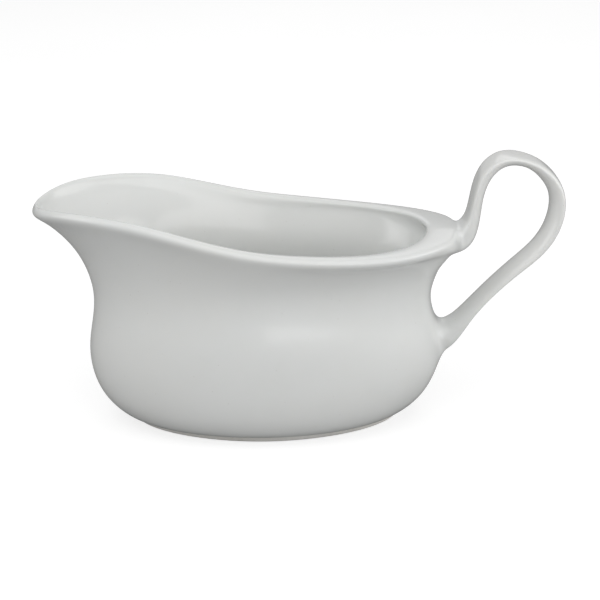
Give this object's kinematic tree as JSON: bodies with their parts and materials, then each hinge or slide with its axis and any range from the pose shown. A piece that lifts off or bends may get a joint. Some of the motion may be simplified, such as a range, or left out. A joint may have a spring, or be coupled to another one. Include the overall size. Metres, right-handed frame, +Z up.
{
  "type": "gravy boat",
  "caption": "Oval white porcelain gravy boat with a broad pouring spout, a flat shelf in the rim and a looped strap handle opposite the spout, standing on a low foot ring.",
  "frame": {"origin": "centre of the foot ring on the plane the boat stands on", "axes": "+Z up, -X towards the pouring spout, +X towards the handle, Y across the boat"},
  "size_m": [0.2098, 0.0862, 0.1091],
  "materials": {
    "body_glaze": "clear gloss glaze over white porcelain",
    "handle_glaze": "clear gloss glaze over white porcelain",
    "joint_glaze": "clear gloss glaze over sponged porcelain slip",
    "bare_foot": "unglazed matt biscuit, polished flat"
  },
  "bodies": {
    "root": {"bowl": "body_glaze", "handle": "handle_glaze", "foot_ring": "bare_foot", "upper_luting_joint": "joint_glaze", "lower_luting_joint": "joint_glaze"}
  },
  "joints": []
}
